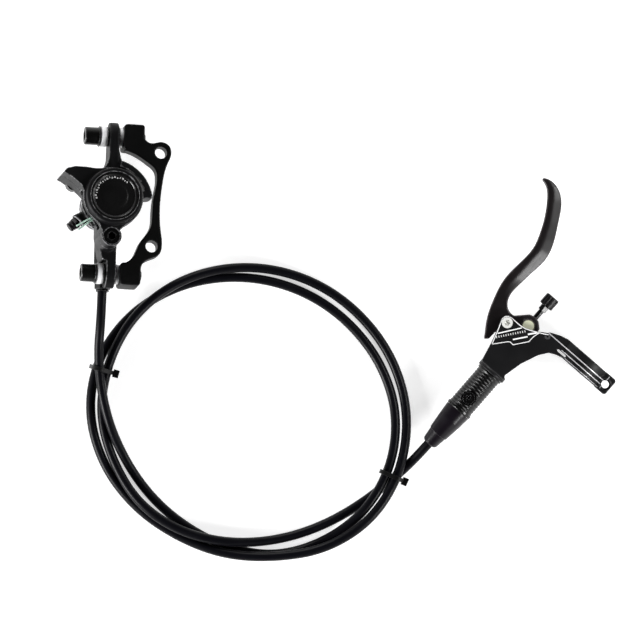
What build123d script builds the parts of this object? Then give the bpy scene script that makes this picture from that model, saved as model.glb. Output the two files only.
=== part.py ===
from build123d import *
import math
import os

os.makedirs("parts", exist_ok=True)

# Hydraulic disc brake set, lying on its side: caliper with its mount adapter at
# the left, coiled hose, brake lever at the right. Millimetres, Z up.

# Driving sizes of the caliper
CALIPER_AT = (-117.35, 39.0, 0.9)     # where the adapter's bolt face meets the middle
CALIPER_TURN = (-10.2, 9.7, -1.6)     # the caliper leans, propped by its hose end
MOUNT_PITCH = 74.0                    # post mount bolts
IS_HOLES = ((20.0, 28.8), (16.4, -22.05))
BOLT_Z = 16.5
ROTOR_Z = 31.5
ROTOR_T = 1.8
ROTOR_R = 80.0
ROTOR_AT = 72.3                       # rotor centre from the piston axis
PAD_TURN = 29.2
PISTON_X = -7.5
PISTON_R = 11.0
HOUSING_R = 16.0
HOUSING_LOW = 5.0
RIB_R = 23.6                          # outer edge of the free rib
RIB_T = 3.3
EAR_BACK = -7.5
EAR_T = 5.1
EAR_H = 15.4
TOP_Z = 41.0
RING_TOP = 46.5
CAP_R = 12.85
RING_WALL = 2.1                       # collar round the cap
PORT_END = MOUNT_PITCH / 2 + EAR_H / 2 - 5.7
NIPPLE_TURN = 219.3

# Clearances
SLIDE = 0.05                          # bores and running fits, on the radius
SET = 0.02                            # pieces that are pressed or held
GAP = 0.3                             # free pieces next to moving ones

# Driving sizes of the lever
LEVER_AT = (83.25, -45.4, 14.6)
LEVER_TURN = 49.0
BODY_HALF = 9.0
BLADE_HALF = 5.0
SLOT_HALF = 5.5
BAR_R = 11.1
CLAMP_R = 14.6
CLAMP_Y = -33.1
PIVOT = (24.2, 10.8)
BARREL = (30.2, 1.2)
MASTER_R = 4.5
KNOB_R = 4.0

# Hose
HOSE_D = 5.0
COIL_AT = (-46.35, -68.1)
HOSE_BASE = 2.6
LAYER = 5.4

BASE = (Align.CENTER, Align.CENTER, Align.MIN)


def set_in(frame, at=(0, 0, 0), turn=(0, 0, 0)):
    return Plane(frame * Location(at, turn))


def along_x(frame, at=(0, 0, 0)):
    return set_in(frame, at, (0, 90, 0))


def upright(frame, at=(0, 0, 0)):
    return set_in(frame, at, (0, -90, 0))


def polar(radius, angle):
    return (radius * math.cos(math.radians(angle)), radius * math.sin(math.radians(angle)))


CAL = Plane(Location(CALIPER_AT, CALIPER_TURN))
PAD = set_in(CAL, (PISTON_X, 0, 0), (0, 0, PAD_TURN))
LEV = Plane(Location(LEVER_AT, (0, 0, LEVER_TURN)))
NIPPLE = set_in(set_in(CAL, (PISTON_X, 0, 16), (0, 0, NIPPLE_TURN)), (HOUSING_R - 4.92, -2.09, 0))
PORT = set_in(CAL, (-6.5, 0, 5), (90, 0, 0))      # local z runs out of the hose port

SLOT_LOW = ROTOR_Z - 2.3
SLOT_HIGH = ROTOR_Z + 2.3
POCKET_LOW = 26.1
POCKET_HIGH = 36.9
WINDOW_Y = 11.2
BODY_BOLTS = ((-10.4, HOUSING_R + 2.1), (-10.4, -HOUSING_R - 2.1))
CROSSOVER = (-11.6, -13.4)
WING = ((-34.7, 12.1), (-32.8, 14.4), (-28.2, 15.7), (-22.5, 15.6), (-17.3, 15.1), (-10, 15.8),
        (-4, 12), (8.4, -1.4), (5.1, -9.2), (-3.5, -17.4), (-4.6, -23.3), (-7.8, -24.5),
        (-12.9, -18.6), (-14.9, -14.4), (-17.5, -10.5), (-21.3, -6.4), (-22.3, -3),
        (-23.7, 3.1), (-24.7, 5.5), (-29.2, 9), (-32.3, 11))

# Hose coil: angle round the coil, radius and layer of each point
COIL = (
    (160, 84.20, 1.50), (180, 75.27, 1.50), (200, 69.68, 0.10), (220, 67.71, 0.00),
    (240, 68.24, 0.00), (260, 71.54, 0.00), (280, 76.49, 0.00), (300, 78.46, 0.00),
    (320, 80.27, 1.15), (340, 79.95, 1.15), (0, 77.93, 0.10), (20, 74.26, 0.00),
    (40, 71.28, 0.00), (60, 70.21, 0.00), (80, 70.74, 0.00), (100, 72.98, 0.00),
    (120, 76.81, 0.00), (140, 81.28, 0.00), (160, 84.41, 0.31), (180, 84.31, 0.16),
    (200, 81.12, 0.00), (220, 77.39, 0.00), (240, 74.84, 0.00), (260, 75.27, 0.75),
    (280, 76.86, 1.05), (300, 82.18, 1.10), (320, 85.64, 1.35), (340, 85.53, 1.50),
    (0, 83.78, 0.10), (20, 81.06, 0.00), (40, 78.51, 0.00), (60, 77.34, 0.00),
    (80, 77.07, 0.05), (100, 77.66, 0.60), (120, 78.78, 1.00), (140, 79.36, 1.30),
    (160, 78.60, 0.62), (180, 78.30, 0.28), (200, 75.80, 0.40), (220, 74.89, 1.00),
    (240, 71.81, 1.00), (260, 69.04, 1.00), (280, 68.24, 0.10), (300, 70.16, 0.00),
    (320, 75.59, 0.00), (340, 86.70, 0.30))

# The lower half of the caliper: ears for the two mount bolts, the round housing of
# the outer piston, the port of the hose and the boss of the bleed nipple.
with BuildPart() as outboard_housing:
    with BuildSketch(set_in(PAD, (0, 0, HOUSING_LOW))):
        Circle(HOUSING_R)
    extrude(amount=SLOT_LOW - HOUSING_LOW)
    chamfer(outboard_housing.faces().sort_by(Axis(CAL.origin, CAL.z_dir))[0].edges(), 1.6)
    with BuildSketch(set_in(CAL, (EAR_BACK, 0, BOLT_Z), (0, 90, 0))):
        SlotCenterToCenter(MOUNT_PITCH, EAR_H, rotation=90)
    extrude(amount=EAR_T)
    fillet(outboard_housing.edges().filter_by(GeomType.CIRCLE).group_by(
        Axis(set_in(CAL, (0, 60, 0)).origin, CAL.y_dir))[-1], 0.7)
    with BuildSketch(set_in(CAL, (0, 0, BOLT_Z - EAR_H / 2 + 0.2))):
        with BuildLine():
            ThreePointArc((-7.5, 28), (-9.2, 20.5), (-15.5, 15.6))
            Polyline((-15.5, 15.6), (-17, -10), (-12.5, -18.5), (-10.9, -27.5), (-10, -30.6),
                     (-7.5, -31), (-2.4, -33), (-3.2, -22), (-3, -16), (8, 6))
            ThreePointArc((8, 6), (0.5, 19.5), (-2.4, 29))
            Line((-2.4, 29), (-7.5, 28))
        make_face()
    extrude(amount=EAR_H - 0.4)
    with BuildSketch(set_in(CAL, (0, 0, 16))):
        Polygon(*WING, align=None)
        with Locations((-7.8, -20.9)):
            Circle(5.4)
    extrude(amount=ROTOR_Z - 16)
    # rib that stands clear of the housing towards the adapter
    with BuildSketch(set_in(CAL, (PISTON_X, 0, 14))):
        with BuildLine():
            ThreePointArc(polar(RIB_R, 9), polar(RIB_R, 42), polar(RIB_R, 75))
            Line(polar(RIB_R, 75), polar(RIB_R - RIB_T, 75))
            ThreePointArc(polar(RIB_R - RIB_T, 75), polar(RIB_R - RIB_T, 48), polar(RIB_R - RIB_T, 21))
            Polyline(polar(RIB_R - RIB_T, 21), polar(15, 21), polar(15, 9), polar(RIB_R, 9))
        make_face()
    extrude(amount=13)
    # bosses of the port and the nipple
    with Locations(set_in(PORT, (0, 0, -2))):
        Cylinder(5, PORT_END + 2, align=BASE)
    with Locations(along_x(NIPPLE, (2, 0, 0))):
        Cylinder(4.1, 5.2, align=BASE)
    # the rotor's slot, the pad pocket and the window over the pads
    with Locations(set_in(PAD, (ROTOR_AT, 0, SLOT_LOW))):
        Cylinder(ROTOR_R + 1, 6, align=BASE, mode=Mode.SUBTRACT)
    with Locations(set_in(PAD, ((10.5 - 30) / 2, 0, POCKET_LOW))):
        Box(40.5, 2 * WINDOW_Y, 10, align=BASE, mode=Mode.SUBTRACT)
    # bore with the groove of its seal
    with Locations(set_in(PAD, (0, 0, 15.6))):
        Cylinder(PISTON_R + SLIDE, 14, align=BASE, mode=Mode.SUBTRACT)
    with Locations(set_in(PAD, (0, 0, 18.4))):
        Cylinder(PISTON_R + 1.65, 1.8, align=BASE, mode=Mode.SUBTRACT)
    # recess of the split pin's eye
    with Locations(set_in(PAD, (-16.5, -4.5, 21.4))):
        Box(10, 5.6, 10, align=BASE, mode=Mode.SUBTRACT)
    # slots of the mount bolts, holes of the body bolts
    for side in (1, -1):
        with BuildSketch(set_in(CAL, (EAR_BACK - 6, side * MOUNT_PITCH / 2, BOLT_Z), (0, 90, 0))):
            SlotCenterToCenter(5.0, 6.4)
        extrude(amount=EAR_T + 10, mode=Mode.SUBTRACT)
    with Locations(set_in(PAD, (*BODY_BOLTS[0], 10))):
        Cylinder(2.5 + SLIDE, 24, align=BASE, mode=Mode.SUBTRACT)
    with Locations(set_in(PAD, (*BODY_BOLTS[0], 10))):
        Cylinder(4.4, 9, align=BASE, mode=Mode.SUBTRACT)
    with Locations(set_in(PAD, (*BODY_BOLTS[1], 19))):
        Cylinder(2.5 + SLIDE, 14, align=BASE, mode=Mode.SUBTRACT)
    # fluid ways
    with Locations(set_in(PORT, (0, 0, -2))):
        Cylinder(1.25, PORT_END - 9, align=BASE, mode=Mode.SUBTRACT)
    with Locations(set_in(CAL, (-6.5, 0, 5))):
        Cylinder(1.0, 12, align=BASE, mode=Mode.SUBTRACT)
    with Locations(set_in(PORT, (0, 0, PORT_END - 11))):
        Cylinder(3.5 + SLIDE, 12, align=BASE, mode=Mode.SUBTRACT)
    with Locations(along_x(NIPPLE, (-2, 0, 0))):
        Cylinder(0.8, 6, align=BASE, mode=Mode.SUBTRACT)
    with Locations(along_x(NIPPLE, (3, 0, 0))):
        Cylinder(2.5 + SLIDE, 6, align=BASE, mode=Mode.SUBTRACT)
    with Locations(set_in(PAD, (*CROSSOVER, 20))):
        Cylinder(0.8, 12, align=BASE, mode=Mode.SUBTRACT)
    with Locations(set_in(PAD, (*CROSSOVER, ROTOR_Z - 0.6))):
        Cylinder(1.72, 1, align=BASE, mode=Mode.SUBTRACT)
outboard_housing.part.label = "outboard_housing"
export_step(outboard_housing.part, "parts/outboard_housing.step")

# The upper half: flat top with the wing, a round collar over the inner piston.
with BuildPart() as inboard_housing:
    with BuildSketch(set_in(CAL, (0, 0, ROTOR_Z))):
        Polygon(*WING, align=None)
        with Locations((-7.8, -20.9)):
            Circle(5.4)
        with Locations((PISTON_X, 0)):
            Circle(HOUSING_R)
    extrude(amount=TOP_Z - ROTOR_Z)
    with Locations(set_in(PAD, (0, 0, TOP_Z - 1))):
        Cylinder(CAP_R + SLIDE + RING_WALL, RING_TOP - TOP_Z + 1, align=BASE)
    chamfer(inboard_housing.faces().sort_by(Axis(CAL.origin, CAL.z_dir))[-1].edges(), 0.6)
    with Locations(set_in(PAD, (ROTOR_AT, 0, ROTOR_Z - 1))):
        Cylinder(ROTOR_R + 1, SLOT_HIGH - ROTOR_Z + 1, align=BASE, mode=Mode.SUBTRACT)
    with Locations(set_in(PAD, ((10.5 - 30) / 2, 0, ROTOR_Z - 1))):
        Box(40.5, 2 * WINDOW_Y, POCKET_HIGH - ROTOR_Z + 1, align=BASE, mode=Mode.SUBTRACT)
    with Locations(set_in(PAD, (0, 0, POCKET_HIGH - 1))):
        Cylinder(PISTON_R + SLIDE, 12, align=BASE, mode=Mode.SUBTRACT)
    with Locations(set_in(PAD, (0, 0, 39.5))):
        Cylinder(PISTON_R + 1.65, 1.8, align=BASE, mode=Mode.SUBTRACT)
    with Locations(set_in(PAD, (0, 0, 43.5))):
        Cylinder(CAP_R + SLIDE, 5, align=BASE, mode=Mode.SUBTRACT)
    # room for the legs of the split pin
    with Locations(set_in(PAD, (-16.4, -4.5, POCKET_HIGH - 1))):
        Box(10, 4.6, 2.7, align=BASE, mode=Mode.SUBTRACT)
    with Locations(set_in(PAD, (*BODY_BOLTS[0], ROTOR_Z - 1))):
        Cylinder(2.5 + SLIDE, 8.2, align=BASE, mode=Mode.SUBTRACT)
    with Locations(set_in(PAD, (*BODY_BOLTS[1], ROTOR_Z - 1))):
        Cylinder(2.5 + SLIDE, 12, align=BASE, mode=Mode.SUBTRACT)
    with Locations(set_in(PAD, (*BODY_BOLTS[1], 36.2))):
        Cylinder(4.4, 6, align=BASE, mode=Mode.SUBTRACT)
    with Locations(set_in(PAD, (*CROSSOVER, ROTOR_Z - 0.5))):
        Cylinder(0.8, 7, align=BASE, mode=Mode.SUBTRACT)
inboard_housing.part.label = "inboard_housing"
export_step(inboard_housing.part, "parts/inboard_housing.step")

# Screwed cap of the inner bore, with a raised middle and a groove for its ring.
with BuildPart() as bore_cap:
    axis_up = upright(PAD)
    with BuildSketch(axis_up):
        Polygon((43.55, 0), (43.55, CAP_R), (44.0, CAP_R), (44.0, CAP_R - 1.05), (45.0, CAP_R - 1.05),
                (45.0, CAP_R), (45.5, CAP_R), (45.9, CAP_R - 0.45), (45.9, 9.4), (45.2, 9.0),
                (45.2, 8.3), (45.6, 7.9), (45.6, 0), align=None)
    revolve(axis=Axis(axis_up.origin, axis_up.x_dir))
bore_cap.part.label = "bore_cap"
export_step(bore_cap.part, "parts/bore_cap.step")

with BuildPart() as bore_cap_ring:
    with BuildSketch(axis_up):
        with Locations((44.5, CAP_R - 0.52)):
            RegularPolygon(0.47, 8)
    revolve(axis=Axis(axis_up.origin, axis_up.x_dir))
bore_cap_ring.part.label = "bore_cap_ring"
export_step(bore_cap_ring.part, "parts/bore_cap_ring.step")

with BuildPart() as outer_piston:
    with BuildSketch(axis_up):
        Polygon((16.4, 0), (16.4, 10.6), (16.8, 11), (26.4, 11), (26.4, 8.2), (19.4, 8.2),
                (19.4, 0), align=None)
    revolve(axis=Axis(axis_up.origin, axis_up.x_dir))
outer_piston.part.label = "outer_piston"
export_step(outer_piston.part, "parts/outer_piston.step")

with BuildPart() as inner_piston:
    with BuildSketch(axis_up):
        Polygon((43.2, 0), (43.2, 10.6), (42.8, 11), (36.6, 11), (36.6, 8.2), (40.6, 8.2),
                (40.6, 0), align=None)
    revolve(axis=Axis(axis_up.origin, axis_up.x_dir))
inner_piston.part.label = "inner_piston"
export_step(inner_piston.part, "parts/inner_piston.step")

with BuildPart() as outer_piston_seal:
    with BuildSketch(axis_up):
        with Locations((19.3, 11.82)):
            Rectangle(1.7, 1.6)
    revolve(axis=Axis(axis_up.origin, axis_up.x_dir))
outer_piston_seal.part.label = "outer_piston_seal"
export_step(outer_piston_seal.part, "parts/outer_piston_seal.step")

with BuildPart() as inner_piston_seal:
    with BuildSketch(axis_up):
        with Locations((40.4, 11.82)):
            Rectangle(1.7, 1.6)
    revolve(axis=Axis(axis_up.origin, axis_up.x_dir))
inner_piston_seal.part.label = "inner_piston_seal"
export_step(inner_piston_seal.part, "parts/inner_piston_seal.step")

# Pads: steel plates with a tab for the split pin, friction blocks bonded on.
with BuildPart() as outer_pad_plate:
    with BuildSketch(set_in(PAD, (0, 0, 26.4))):
        RectangleRounded(18, 21.8, 3)
        with Locations((-11.5, -4.5)):
            Rectangle(6.5, 7)
        with Locations((-12.6, -4.5)):
            Circle(1.4, mode=Mode.SUBTRACT)
    extrude(amount=1.8)
outer_pad_plate.part.label = "outer_pad_plate"
export_step(outer_pad_plate.part, "parts/outer_pad_plate.step")

with BuildPart() as outer_pad_lining:
    with BuildSketch(set_in(PAD, (0.6, 0, 28.2))):
        RectangleRounded(16, 17.6, 2.5)
    extrude(amount=2.0)
    with Locations(set_in(PAD, (0.6, 0, 29.2))):
        Box(18, 1.2, 2, align=BASE, mode=Mode.SUBTRACT)
outer_pad_lining.part.label = "outer_pad_lining"
export_step(outer_pad_lining.part, "parts/outer_pad_lining.step")

with BuildPart() as inner_pad_plate:
    with BuildSketch(set_in(PAD, (0, 0, 34.8))):
        RectangleRounded(18, 21.8, 3)
        with Locations((-11.5, -4.5)):
            Rectangle(6.5, 7)
        with Locations((-12.6, -4.5)):
            Circle(1.4, mode=Mode.SUBTRACT)
    extrude(amount=1.8)
inner_pad_plate.part.label = "inner_pad_plate"
export_step(inner_pad_plate.part, "parts/inner_pad_plate.step")

with BuildPart() as inner_pad_lining:
    with BuildSketch(set_in(PAD, (0.6, 0, 32.8))):
        RectangleRounded(16, 17.6, 2.5)
    extrude(amount=2.0)
    with Locations(set_in(PAD, (0.6, 0, 31.8))):
        Box(18, 1.2, 2, align=BASE, mode=Mode.SUBTRACT)
inner_pad_lining.part.label = "inner_pad_lining"
export_step(inner_pad_lining.part, "parts/inner_pad_lining.step")

# Sheet spring that spreads the two pads, its bridge outside the rotor's rim.
with BuildPart() as pad_spring:
    for side in (1, -1):
        with BuildSketch(set_in(PAD, (0, side * 9.9 + 0.55, 0), (90, 0, 0))):
            Polygon((-9.9, 28.35), (6, 28.35), (6, 28.65), (-9.6, 28.65), (-9.6, 34.35),
                    (6, 34.35), (6, 34.65), (-9.9, 34.65), align=None)
        extrude(amount=1.1)
    with Locations(set_in(PAD, (-9.75, 0, 30))):
        Box(0.3, 20, 3, align=BASE)
pad_spring.part.label = "pad_spring"
export_step(pad_spring.part, "parts/pad_spring.step")

# Split pin: eye below, two legs through both tabs and bent outwards.
with BuildPart() as pad_split_pin:
    with Locations(set_in(PAD, (-12.6, -4.5, 24.1), (0, 90, 0))):
        Torus(1.4, 0.45)
    for side in (0.5, -0.5):
        with BuildLine() as leg_line:
            FilletPolyline(
                set_in(PAD, (-12.6, -4.5 + side, 25.3)).origin,
                set_in(PAD, (-12.6, -4.5 + side, 37.65)).origin,
                set_in(PAD, (-24.4, -5.9 + side * 2.2, 37.65)).origin,
                radius=1.1)
        with BuildSketch(set_in(PAD, (-12.6, -4.5 + side, 25.3))):
            Circle(0.47)
        sweep(path=leg_line.wire())
pad_split_pin.part.label = "pad_split_pin"
export_step(pad_split_pin.part, "parts/pad_split_pin.step")

with BuildPart() as crossover_ring:
    crossover_up = upright(set_in(PAD, (*CROSSOVER, 0)))
    with BuildSketch(crossover_up):
        with Locations((ROTOR_Z - 0.3, 1.4)):
            RegularPolygon(0.28, 8)
    revolve(axis=Axis(crossover_up.origin, crossover_up.x_dir))
crossover_ring.part.label = "crossover_ring"
export_step(crossover_ring.part, "parts/crossover_ring.step")

# Socket bolts that hold the two halves together.
with BuildPart() as rear_body_bolt:
    with Locations(set_in(PAD, (*BODY_BOLTS[0], 14))):
        Cylinder(4.25, 4.9, align=BASE)
    with Locations(set_in(PAD, (*BODY_BOLTS[0], 14))):
        Cylinder(2.5, 23.5, align=BASE)
    with BuildSketch(set_in(PAD, (*BODY_BOLTS[0], 14))):
        RegularPolygon(2.3, 6)
    extrude(amount=2.6, mode=Mode.SUBTRACT)
rear_body_bolt.part.label = "rear_body_bolt"
export_step(rear_body_bolt.part, "parts/rear_body_bolt.step")

with BuildPart() as front_body_bolt:
    with Locations(set_in(PAD, (*BODY_BOLTS[1], 36.25))):
        Cylinder(4.25, 4.5, align=BASE)
    with Locations(set_in(PAD, (*BODY_BOLTS[1], 20))):
        Cylinder(2.5, 17, align=BASE)
    with BuildSketch(set_in(PAD, (*BODY_BOLTS[1], 38))):
        RegularPolygon(2.3, 6)
    extrude(amount=4, mode=Mode.SUBTRACT)
front_body_bolt.part.label = "front_body_bolt"
export_step(front_body_bolt.part, "parts/front_body_bolt.step")

# Mount bolts and their stacks of cupped and domed washers.
BOLT_SHAPE = ((-20.3, 0), (-20.3, 4.35), (-19.9, 4.75), (-12.8, 4.75), (-12.8, 5.5),
              (-12.25, 5.5), (-12.25, 3.0), (11.6, 3.0), (12.2, 2.4), (12.2, 0))
UPPER_BOLT = set_in(CAL, (0, MOUNT_PITCH / 2, BOLT_Z))
LOWER_BOLT = set_in(CAL, (0, -MOUNT_PITCH / 2, BOLT_Z))
with BuildPart() as upper_mount_bolt:
    with BuildSketch(UPPER_BOLT):
        Polygon(*BOLT_SHAPE, align=None)
    revolve(axis=Axis(UPPER_BOLT.origin, UPPER_BOLT.x_dir))
    with BuildSketch(along_x(UPPER_BOLT, (-20.3, 0, 0))):
        RegularPolygon(2.9, 6)
    extrude(amount=4, mode=Mode.SUBTRACT)
upper_mount_bolt.part.label = "upper_mount_bolt"
export_step(upper_mount_bolt.part, "parts/upper_mount_bolt.step")

with BuildPart() as lower_mount_bolt:
    with BuildSketch(LOWER_BOLT):
        Polygon(*BOLT_SHAPE, align=None)
    revolve(axis=Axis(LOWER_BOLT.origin, LOWER_BOLT.x_dir))
    with BuildSketch(along_x(LOWER_BOLT, (-20.3, 0, 0))):
        RegularPolygon(2.9, 6)
    extrude(amount=4, mode=Mode.SUBTRACT)
lower_mount_bolt.part.label = "lower_mount_bolt"
export_step(lower_mount_bolt.part, "parts/lower_mount_bolt.step")

CUP_SHAPE = ((-12.15, 3.1), (-11.6, 5.6), (-9.5, 5.6), (-8.5, 5.2), (-8.9, 3.1))
DOME_SHAPE = ((-8.8, 3.1), (-8.4, 5.2), (-8.1, 5.3), (-7.55, 5.3), (-7.55, 3.1))
BACK_SHAPE = ((-2.35, 3.1), (-2.35, 5.3), (-1.9, 5.3), (-1.0, 3.1))
SEAT_SHAPE = ((-0.95, 3.1), (-1.75, 5.3), (-0.05, 5.3), (-0.05, 3.1))
with BuildPart() as upper_cup_washer:
    with BuildSketch(UPPER_BOLT):
        Polygon(*CUP_SHAPE, align=None)
    revolve(axis=Axis(UPPER_BOLT.origin, UPPER_BOLT.x_dir))
upper_cup_washer.part.label = "upper_cup_washer"
export_step(upper_cup_washer.part, "parts/upper_cup_washer.step")

with BuildPart() as lower_cup_washer:
    with BuildSketch(LOWER_BOLT):
        Polygon(*CUP_SHAPE, align=None)
    revolve(axis=Axis(LOWER_BOLT.origin, LOWER_BOLT.x_dir))
lower_cup_washer.part.label = "lower_cup_washer"
export_step(lower_cup_washer.part, "parts/lower_cup_washer.step")

with BuildPart() as upper_dome_washer:
    with BuildSketch(UPPER_BOLT):
        Polygon(*DOME_SHAPE, align=None)
    revolve(axis=Axis(UPPER_BOLT.origin, UPPER_BOLT.x_dir))
upper_dome_washer.part.label = "upper_dome_washer"
export_step(upper_dome_washer.part, "parts/upper_dome_washer.step")

with BuildPart() as lower_dome_washer:
    with BuildSketch(LOWER_BOLT):
        Polygon(*DOME_SHAPE, align=None)
    revolve(axis=Axis(LOWER_BOLT.origin, LOWER_BOLT.x_dir))
lower_dome_washer.part.label = "lower_dome_washer"
export_step(lower_dome_washer.part, "parts/lower_dome_washer.step")

with BuildPart() as upper_back_washer:
    with BuildSketch(UPPER_BOLT):
        Polygon(*BACK_SHAPE, align=None)
    revolve(axis=Axis(UPPER_BOLT.origin, UPPER_BOLT.x_dir))
upper_back_washer.part.label = "upper_back_washer"
export_step(upper_back_washer.part, "parts/upper_back_washer.step")

with BuildPart() as lower_back_washer:
    with BuildSketch(LOWER_BOLT):
        Polygon(*BACK_SHAPE, align=None)
    revolve(axis=Axis(LOWER_BOLT.origin, LOWER_BOLT.x_dir))
lower_back_washer.part.label = "lower_back_washer"
export_step(lower_back_washer.part, "parts/lower_back_washer.step")

with BuildPart() as upper_seat_washer:
    with BuildSketch(UPPER_BOLT):
        Polygon(*SEAT_SHAPE, align=None)
    revolve(axis=Axis(UPPER_BOLT.origin, UPPER_BOLT.x_dir))
upper_seat_washer.part.label = "upper_seat_washer"
export_step(upper_seat_washer.part, "parts/upper_seat_washer.step")

with BuildPart() as lower_seat_washer:
    with BuildSketch(LOWER_BOLT):
        Polygon(*SEAT_SHAPE, align=None)
    revolve(axis=Axis(LOWER_BOLT.origin, LOWER_BOLT.x_dir))
lower_seat_washer.part.label = "lower_seat_washer"
export_step(lower_seat_washer.part, "parts/lower_seat_washer.step")

# Adapter from the two mount bolts to the two frame holes.
with BuildPart() as adapter_bracket:
    with BuildSketch(set_in(CAL, (0, 0, 16))):
        with BuildLine():
            Spline((11.5, 35.4), (15.8, 33.7), (19.9, 34.6), (24.4, 32.6), (25.6, 28.6), (23.6, 22.5),
                   (21.6, 14), (20.6, 5), (20.3, -4), (21.2, -14), (22, -21.5), (20.7, -26.1),
                   (15.6, -28.9), (11, -35.3))
            Line((11, -35.3), (0, -32.2))
            Spline((0, -32.2), (7.3, -26.9), (9.9, -20.7), (13.6, -15.3), (15.4, -12), (16.2, -4),
                   (16.9, 5), (18.2, 14), (17.2, 19.4), (12.9, 23.1), (8.4, 26), (0.3, 29))
            Line((0.3, 29), (11.5, 35.4))
        make_face()
    extrude(amount=8)
    ear_end = MOUNT_PITCH / 2 + EAR_H / 2
    for low, high in ((30, ear_end - 1.4), (1.2 - ear_end, -31.5)):
        with BuildSketch(set_in(CAL, (5.5, (low + high) / 2, BOLT_Z - EAR_H / 2 + 0.2))):
            RectangleRounded(11, high - low, 1.6)
        extrude(amount=EAR_H - 0.4)
    for side in (1, -1):
        with Locations(along_x(CAL, (-1, side * MOUNT_PITCH / 2, BOLT_Z))):
            Cylinder(3.0 + SLIDE, 14, align=BASE, mode=Mode.SUBTRACT)
    for at in IS_HOLES:
        with Locations(set_in(CAL, (*at, 10))):
            Cylinder(3.2, 20, align=BASE, mode=Mode.SUBTRACT)
adapter_bracket.part.label = "adapter_bracket"
export_step(adapter_bracket.part, "parts/adapter_bracket.step")

# Bleed nipple and its rubber cap.
with BuildPart() as bleed_nipple:
    with BuildSketch(NIPPLE):
        Polygon((4.4, 0.6), (4.4, 1.2), (5.2, 2.5), (7.9, 2.5), (7.9, 1.6), (9.9, 1.6),
                (10.2, 2.0), (11.6, 1.3), (11.6, 0.6), align=None)
    revolve(axis=Axis(NIPPLE.origin, NIPPLE.x_dir))
    with BuildSketch(along_x(NIPPLE, (7.5, 0, 0))):
        RegularPolygon(3.4, 6)
        Circle(2, mode=Mode.SUBTRACT)
    extrude(amount=1.6)
bleed_nipple.part.label = "bleed_nipple"
export_step(bleed_nipple.part, "parts/bleed_nipple.step")

with BuildPart() as bleed_cap:
    with BuildSketch(NIPPLE):
        Polygon((9.3, 1.65), (9.3, 2.7), (10.6, 2.7), (10.9, 2.3), (11.6, 2.6), (12.4, 2.3),
                (12.4, 0), (11.75, 0), (11.75, 1.6), (10.4, 2.2), (9.9, 2.05), (9.8, 1.65), align=None)
    revolve(axis=Axis(NIPPLE.origin, NIPPLE.x_dir))
bleed_cap.part.label = "bleed_cap"
export_step(bleed_cap.part, "parts/bleed_cap.step")

# Hose fitting of the caliper: nut, clamping ring and insert.
with BuildPart() as caliper_hose_nut:
    with Locations(set_in(PORT, (0, 0, PORT_END - 7.8))):
        Cylinder(3.5, 8, align=BASE)
    with BuildSketch(set_in(PORT, (0, 0, PORT_END + SLIDE))):
        RegularPolygon(4.3, 6)
    extrude(amount=4.2)
    with Locations(set_in(PORT, (0, 0, PORT_END + 4))):
        Cylinder(3.5, 1.6, align=BASE)
    with Locations(set_in(PORT, (0, 0, PORT_END - 9))):
        Cylinder(HOSE_D / 2 + SLIDE, 18, align=BASE, mode=Mode.SUBTRACT)
caliper_hose_nut.part.label = "caliper_hose_nut"
export_step(caliper_hose_nut.part, "parts/caliper_hose_nut.step")

port_x = set_in(PORT, (0, 0, PORT_END), (0, -90, 0))
with BuildPart() as caliper_olive:
    with BuildSketch(port_x):
        Polygon((-10.3, 2.55), (-9.9, 3.2), (-9.0, 3.45), (-8.2, 3.2), (-7.85, 2.55), align=None)
    revolve(axis=Axis(port_x.origin, port_x.x_dir))
caliper_olive.part.label = "caliper_olive"
export_step(caliper_olive.part, "parts/caliper_olive.step")

# Hose in two and a half turns from the caliper's port to the lever's port.
hose_start = set_in(PORT, (0, 0, PORT_END - 10.7))
hose_end = along_x(LEV, (-22.9, 0, 0))
route = [hose_start.origin, set_in(PORT, (0, 0, PORT_END + 17)).origin]
for angle, radius, layer in COIL:
    across, up = polar(radius / math.cos(math.radians(10)), angle)
    route.append(Vector(COIL_AT[0] + across, COIL_AT[1] + up, HOSE_BASE + LAYER * layer))
route.append(set_in(LEV, (-44, 0, 0)).origin)
route.append(hose_end.origin)


def bends(points):
    found = []
    for before, corner, after in zip(points, points[1:], points[2:]):
        arrive, leave = corner - before, after - corner
        half = math.radians(arrive.get_angle(leave)) / 2
        found.append(0.45 * min(arrive.length, leave.length) / math.tan(half))
    return found


hose_radii = bends(route)
with BuildLine() as hose_line:
    FilletPolyline(*route, radius=hose_radii)
hose_wire = hose_line.wire()
with BuildPart() as hose:
    with BuildSketch(Plane(origin=hose_start.origin, z_dir=hose_start.z_dir)):
        Circle(HOSE_D / 2)
    sweep(path=hose_wire)
hose.part.label = "hose"
export_step(hose.part, "parts/hose.step")
hose_length = hose_wire.length
print("hose length", round(hose_length, 1), "bend radii", [round(r) for r in hose_radii])
print("hose volume", round(hose.part.volume), "of", round(math.pi * (HOSE_D / 2) ** 2 * hose_length))


def strands(angle, reach):
    centre = Vector(*COIL_AT, 0)
    across = Vector(*polar(1, angle), 0)
    beside = Vector(*polar(1, angle + 90), 0)
    found = []
    last = None
    for step in range(1001):
        spot = hose_wire.position_at(step / 1000) - centre
        near = (spot.dot(beside), spot.dot(across), spot.Z)
        if last and near[1] > reach and (near[0] > 0) != (last[0] > 0):
            part = last[0] / (last[0] - near[0])
            found.append((last[1] + part * (near[1] - last[1]), last[2] + part * (near[2] - last[2])))
        last = near
    return found


# Cable ties that hold three strands together on each side of the coil.
TIE_ONE = 163.5
TIE_TWO = 336.3
ties = {}
for name, angle in (("caliper side", TIE_ONE), ("lever side", TIE_TWO)):
    ties[name] = strands(angle, 60)
    print("tie", name, [(round(r, 2), round(z, 2)) for r, z in ties[name]])

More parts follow.
